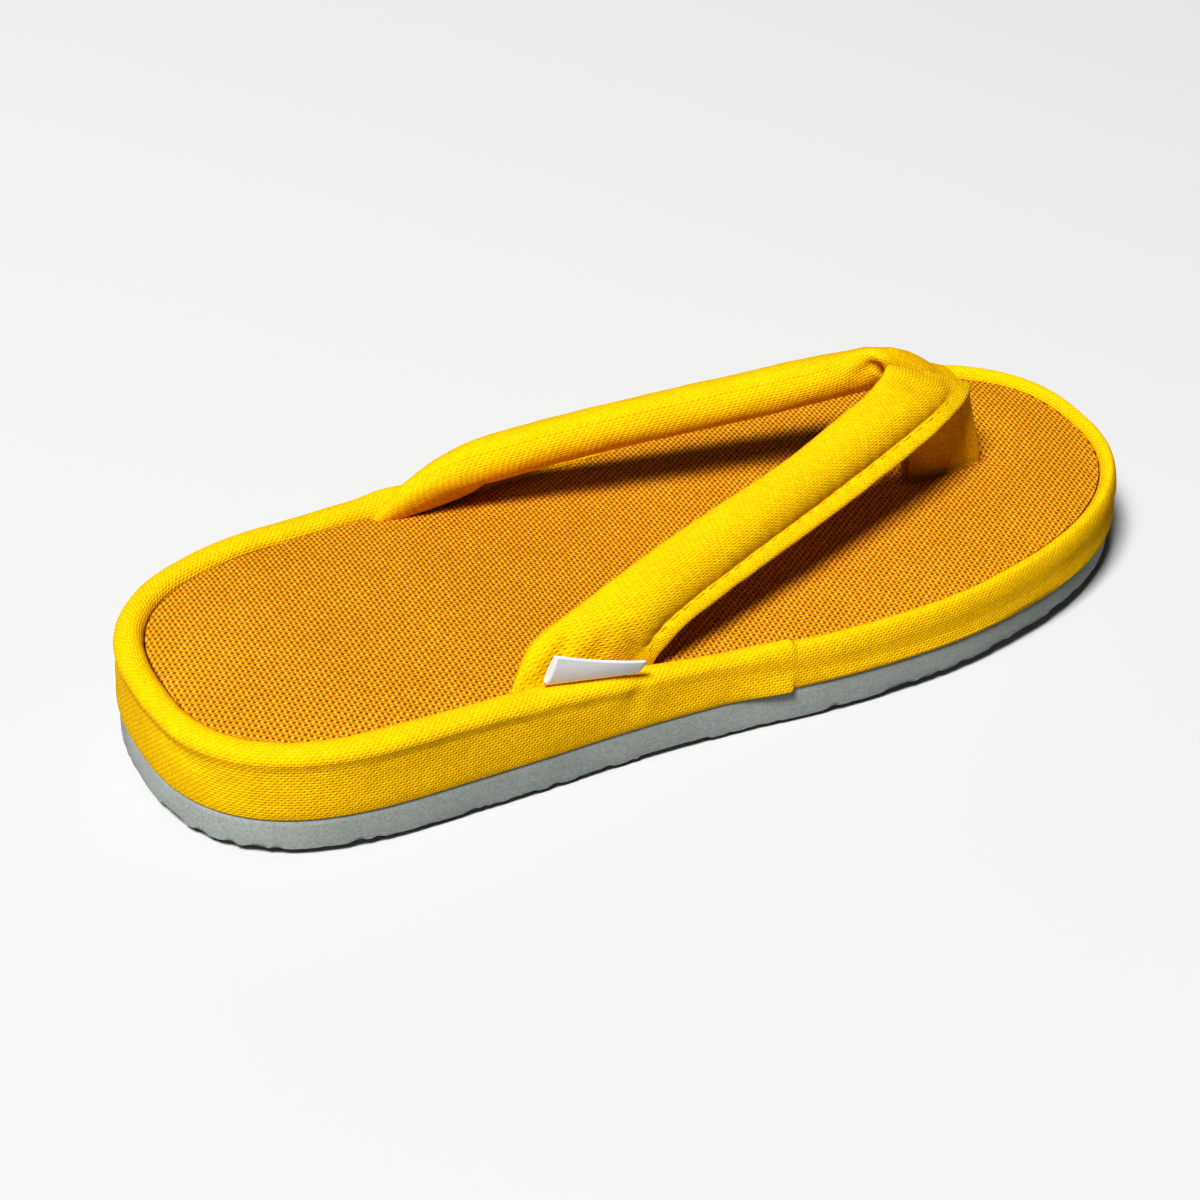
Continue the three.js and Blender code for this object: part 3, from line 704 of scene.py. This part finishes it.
# %% Strap panel
def strap_place(side, seed):
    """The strap's points, its flat map and the share along it of every column."""
    rails, at, share = strap_rails(side)
    inner, outer, over, under = rails[:, 0:3], rails[:, 3:6], rails[:, 6:7], rails[:, 7:8]
    across = outer - inner
    width = np.linalg.norm(across, axis=1)
    across /= width[:, None]
    out = np.cross(across, np.gradient(inner + outer, axis=0))
    out /= np.linalg.norm(out, axis=1, keepdims=True)
    u, v = strap_section(width, over, under, at, share)
    place = inner[:, None] + u[..., None] * across[:, None] + v[..., None] * out[:, None]
    place[..., 0] -= LENGTH / 2
    place = place.transpose(1, 0, 2)

    slack = 0.35 - 0.2 * smoothstep(0.1, 0.35, share) + 0.25 * np.exp(-(((share - 0.97) / 0.09) ** 2))
    slack = slack * smoothstep(1.5, 1.3, share)
    shift = uneven(place, (15, 8, 8), seed) * slack[None, :] + 0.12 * uneven(place, 4.5, seed + 1)
    place = place + outward(place, False) * shift[..., None]
    place[-1] = place[0]
    place[..., 1] *= side
    around = run_along(place[:, len(at) // 2])
    return place, np.stack(np.broadcast_arrays(around[:, None], at[None, :]), -1), share


# %% Strap creases and pieces
RIGHT_CREASES = [
    # from, to, width, depth, in mm
    ((-48.5, -37.0, 27.0), (-40.0, -34.0, 37.5), 1.5, 0.55),
    ((-24.0, -39.5, 27.5), (-28.0, -37.0, 35.5), 1.4, 0.5),
    ((-36.0, -39.0, 28.5), (-33.0, -37.0, 36.5), 1.5, 0.35),
    ((60.0, -6.5, 58.0), (70.0, -10.5, 52.5), 1.8, 0.35),
]
LEFT_CREASES = [
    ((-50.0, 36.0, 27.0), (-36.0, 31.5, 36.0), 1.5, 0.7),
    ((-40.0, 31.0, 28.5), (-28.0, 29.5, 34.0), 1.4, 0.5),
    ((-24.0, 39.0, 27.5), (-29.0, 36.5, 35.5), 1.4, 0.5),
    ((58.0, 3.5, 53.5), (66.0, 6.5, 57.0), 1.6, 0.6),
]
straps = []
for side, name, seed, creases in ((RIGHT, "right", 11, RIGHT_CREASES), (LEFT, "left", 23, LEFT_CREASES)):
    place, cloth, share = strap_place(side, seed)
    place = press(place, outward(place, False) * side, creases)
    place[-1] = place[0]
    bm = panel(place, cloth)
    strap = piece(bm, f"strap_{name}", yellow_canvas, "thong_straps", sharp=70)
    straps.append((side, name, place, share))

# %% [markdown]
# ## Tab
# A strip of white ribbon is folded in half and caught in the seam at the base of the right strap. It
# could be a thin box, but it is a real sheet of cloth, so it is bent from an open panel whose rows go up
# the front, over the fold and down the back. A Solidify modifier gives it the thickness of ribbon. It is
# left blank.

# %% Ribbon material
# Woven ribbon is smooth and close, with fine ribs across it that catch the light in faint lines. Those
# light lines are painted into its colour as well as bumped.
RIB = 0.35  # mm between ribs; the wave node has 20 / (2 pi) waves to a unit at a scale of 1
ribbon, tree, shader = new_material("white woven ribbon", 0.6, IOR=1.5)
spot = add(tree, "ShaderNodeTexCoord", out="UV")
lines = {"Vector": spot, "Scale": 2 * math.pi / 20 / RIB, "Distortion": 0.4}
lines = add(tree, "ShaderNodeTexWave", lines, bands_direction="Y")
# Painted highlight: the ramp makes each rib's line of light a shade whiter in the colour.
ramp = add(tree, "ShaderNodeValToRGB", {0: lines}).node
ramp.color_ramp.elements[0].color = hex_colour("#e2e2e4")
ramp.color_ramp.elements[1].color = hex_colour("#ececee")
tree.links.new(ramp.outputs[0], shader.inputs["Base Color"])
ribs = add(tree, "ShaderNodeBump", {"Height": lines, "Distance": 0.02 * MM, "Strength": 0.5})
tree.links.new(ribs, shader.inputs["Normal"])
print("material:", ribbon.name)

# %% Tab piece
RIBBON_THICK = 0.35
TAB_SLANT = 1.2
TAB = np.array([
    # x from the heel tip, foot y z, tip y z, gap of the fold
    (78.6, -38.3, 28.6, -40.4, 37.6, 1.1),
    (86.0, -39.2, 27.7, -41.2, 34.6, 1.0),
    (95.0, -40.2, 26.5, -42.4, 31.7, 0.9),
    (100.6, -40.8, 25.9, -42.9, 30.2, 0.7),
])
tab_x = np.linspace(TAB[0, 0], TAB[-1, 0], 25)
foot_y, foot_z, tip_y, tip_z, gap = (smooth_column(TAB, c, tab_x) for c in range(1, 6))
lean = np.stack([tip_z - foot_z, tip_y - foot_y], 1)
lean /= np.linalg.norm(lean, axis=1, keepdims=True)
heights = np.concatenate([np.linspace(0, 0.9, 8), 0.9 + 0.1 * np.sin(np.linspace(0.3, math.pi / 2, 5))])
front = [(t, 1) for t in heights]
rows = []
for t, face in front + [(t, -1) for t, _ in front[-2::-1]]:
    open_by = 0.5 * gap * (0.12 + 0.88 * np.sin(np.pi * min(t, 0.93) ** 0.8) ** 0.7)
    open_by = face * open_by * (1 if t < 0.99 else 0.2)
    y = foot_y + t * (tip_y - foot_y) - open_by * lean[:, 0]
    z = foot_z + t * (tip_z - foot_z) + open_by * lean[:, 1]
    rows.append(np.stack([tab_x - LENGTH / 2 + TAB_SLANT * t, y, z], 1))
place = np.stack(rows, 1)
deep = run_along(place[len(tab_x) // 2])
bm = panel(place, np.stack(np.broadcast_arrays(tab_x[:, None], deep[None, :]), -1), closed=False)
tab_area = sum(f.calc_area() for f in bm.faces)
tab = piece(bm, "side_tab_ribbon", ribbon, "side_tab")
thick = tab.modifiers.new("ribbon thickness", "SOLIDIFY")
thick.thickness = RIBBON_THICK * MM
thick.offset = 0.0

# %% [markdown]
# ## Stitches
# Thread holds the flat edge of each strap and closes the seam round the footbed. Stitches could be a bump
# in the cloth, but from the side they stand up, so each one is a tiny long bead, made by the sphere
# operator with a matrix that stretches it along the seam. There are a few hundred of them, with a few
# dozen faces each.

# %% Thread material
TWIST_SIZE = 0.4  # mm


def thread_material(name, colour):
    """Cotton sewing thread: dull, with darker flecks where its plies twist."""
    material, tree, shader = new_material(name, 0.8, Specular_IOR_Level=0.1)
    spot = add(tree, "ShaderNodeTexCoord", out="Object")
    twist = add(tree, "ShaderNodeTexNoise", {"Vector": spot, "Scale": 1 / (TWIST_SIZE * MM), "Detail": 1.0})
    ramp = add(tree, "ShaderNodeValToRGB", {0: twist}).node
    light = hex_colour(colour)
    ramp.color_ramp.elements[0].position, ramp.color_ramp.elements[1].position = 0.3, 0.7
    ramp.color_ramp.elements[0].color = tuple(0.7 * c for c in light[:3]) + (1.0,)
    ramp.color_ramp.elements[1].color = light
    tree.links.new(ramp.outputs[0], shader.inputs["Base Color"])
    bump = add(tree, "ShaderNodeBump", {"Height": twist, "Distance": 0.05 * MM})
    tree.links.new(bump, shader.inputs["Normal"])
    return material


yellow_thread = thread_material("yellow cotton thread", "#e8b800")
brown_thread = thread_material("brown cotton thread", "#7a4706")
print("materials:", [m.name for m in (yellow_thread, brown_thread)])

# %% Stitch pieces
GROOVE_ROW = 27  # the row of a strap's section that lies in the groove


def stitches(name, line, pitch, length, radius, material):
    """Beads along a line of points in mm, one every pitch."""
    run = run_along(line)
    bm = bmesh.new()
    for start in np.arange(pitch / 2, run[-1] - pitch / 2, pitch):
        a, b = (np.array([np.interp(start + d, run, line[:, c]) for c in range(3)]) for d in (-0.1, 0.1))
        lie = Vector(b - a).to_track_quat("X", "Z").to_matrix().to_4x4()
        size = Matrix.Diagonal((length / 2 * MM, radius * MM, radius * MM, 1))
        spot = Matrix.Translation(Vector((a + b) / 2) * MM)
        bmesh.ops.create_uvsphere(bm, u_segments=6, v_segments=5, radius=1.0, matrix=spot @ lie @ size)
    return piece(bm, name, material)


seam_line = ring(-rim - 0.14, seam - 0.95)
stitches("seam_stitches", seam_line, 4.6, 2.0, 0.2, brown_thread)
for side, name, place, share in straps:
    sewn = (share > 0.1) & (share < 0.95)
    line = (place + 0.08 * side * outward(place, False))[GROOVE_ROW, sewn]
    stitches(f"edge_stitches_{name}", line, STITCH, 3.0, 0.22, yellow_thread)

# %% [markdown]
# ## Floor
# The photograph is a plain studio shot on white paper. A white floor throws so much light back that the
# sides of the shoe would lose their shading, so the paper is drawn greyer for the light that bounces off
# it than for the eye. The difference is the same from every side, and only the stage has it.

# %% Floor
FLOOR_HALF, FLOOR_DROP = 3.0, 0.0003  # metres; the drop keeps the sole and the paper apart
bm = bmesh.new()
bmesh.ops.create_grid(bm, x_segments=1, y_segments=1, size=FLOOR_HALF)
bmesh.ops.translate(bm, verts=bm.verts, vec=(0, 0, -FLOOR_DROP))
mesh = bpy.data.meshes.new("floor")
bm.to_mesh(mesh)
bm.free()
paper, tree, shader = new_material("matt white studio paper", 0.9, Specular_IOR_Level=0.1)
seen = add(tree, "ShaderNodeLightPath", out="Is Camera Ray")
tones = {0: seen, 6: hex_colour("#a0a0a0"), 7: hex_colour("#c6c6c6")}
tree.links.new(add(tree, "ShaderNodeMix", tones, out=2, data_type="RGBA"), shader.inputs["Base Color"])
mesh.materials.append(paper)
floor = bpy.data.objects.new("floor", mesh)
bpy.context.collection.objects.link(floor)
floor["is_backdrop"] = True
print("floor side, m:", 2 * FLOOR_HALF)

# %% [markdown]
# ## Light
# One softbox stands high behind the heel, on the left of the camera, and is far enough away to draw
# shadows with a narrow soft edge. A sun would draw them hard. A weak lamp low on the far side keeps the
# left of the shoe from going black, and the world gives only a trace of light behind a pale backdrop. A
# camera's film curve deepens the dark tones and lifts the light ones, so the view has a curve of that
# shape.

# %% Lamps, world and tone curve
SOFTBOX_SIDE = 0.9  # metres


def softbox(name, place, watts):
    lamp = bpy.data.lights.new(name, "AREA")
    lamp.size, lamp.energy = SOFTBOX_SIDE, watts
    lamp_object = bpy.data.objects.new(name, lamp)
    lamp_object.location = place
    lamp_object.rotation_euler = (-Vector(place)).to_track_quat("-Z", "Y").to_euler()
    bpy.context.collection.objects.link(lamp_object)
    print(name, "distance, m:", round(Vector(place).length, 2))


softbox("main_softbox", (-1.53, -0.93, 3.01), 208.0)
softbox("side_fill", (0.6, 2.6, 0.55), 8.0)

BACKDROP, TRACE = 0.75, 0.03
world = bpy.data.worlds.new("studio")
bpy.context.scene.world = world
world.use_nodes = True
tree = world.node_tree
background = tree.nodes["Background"]
background.inputs["Color"].default_value = (1, 1, 1, 1)
seen = add(tree, "ShaderNodeLightPath", out="Is Camera Ray")
strength = add(tree, "ShaderNodeMath", {0: seen, 1: BACKDROP, 2: TRACE}, operation="MULTIPLY_ADD")
tree.links.new(strength, background.inputs["Strength"])

view = bpy.context.scene.view_settings
view.view_transform = "Standard"
view.use_curve_mapping = True
for light_in, light_out in ((0.06, 0.038), (0.2, 0.175), (0.45, 0.47), (0.7, 0.78), (0.88, 0.93)):
    view.curve_mapping.curves[3].points.new(light_in, light_out)
view.curve_mapping.update()

# %% [markdown]
# ## Size of the finished sandal
# The cloth may stand a little proud of the solids, and no more. The box round the shown pieces is printed.

# %% Size of the sandal
low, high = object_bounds()
print("visual box, mm:", [round(1000 * (b - a), 1) for a, b in zip(low, high)])
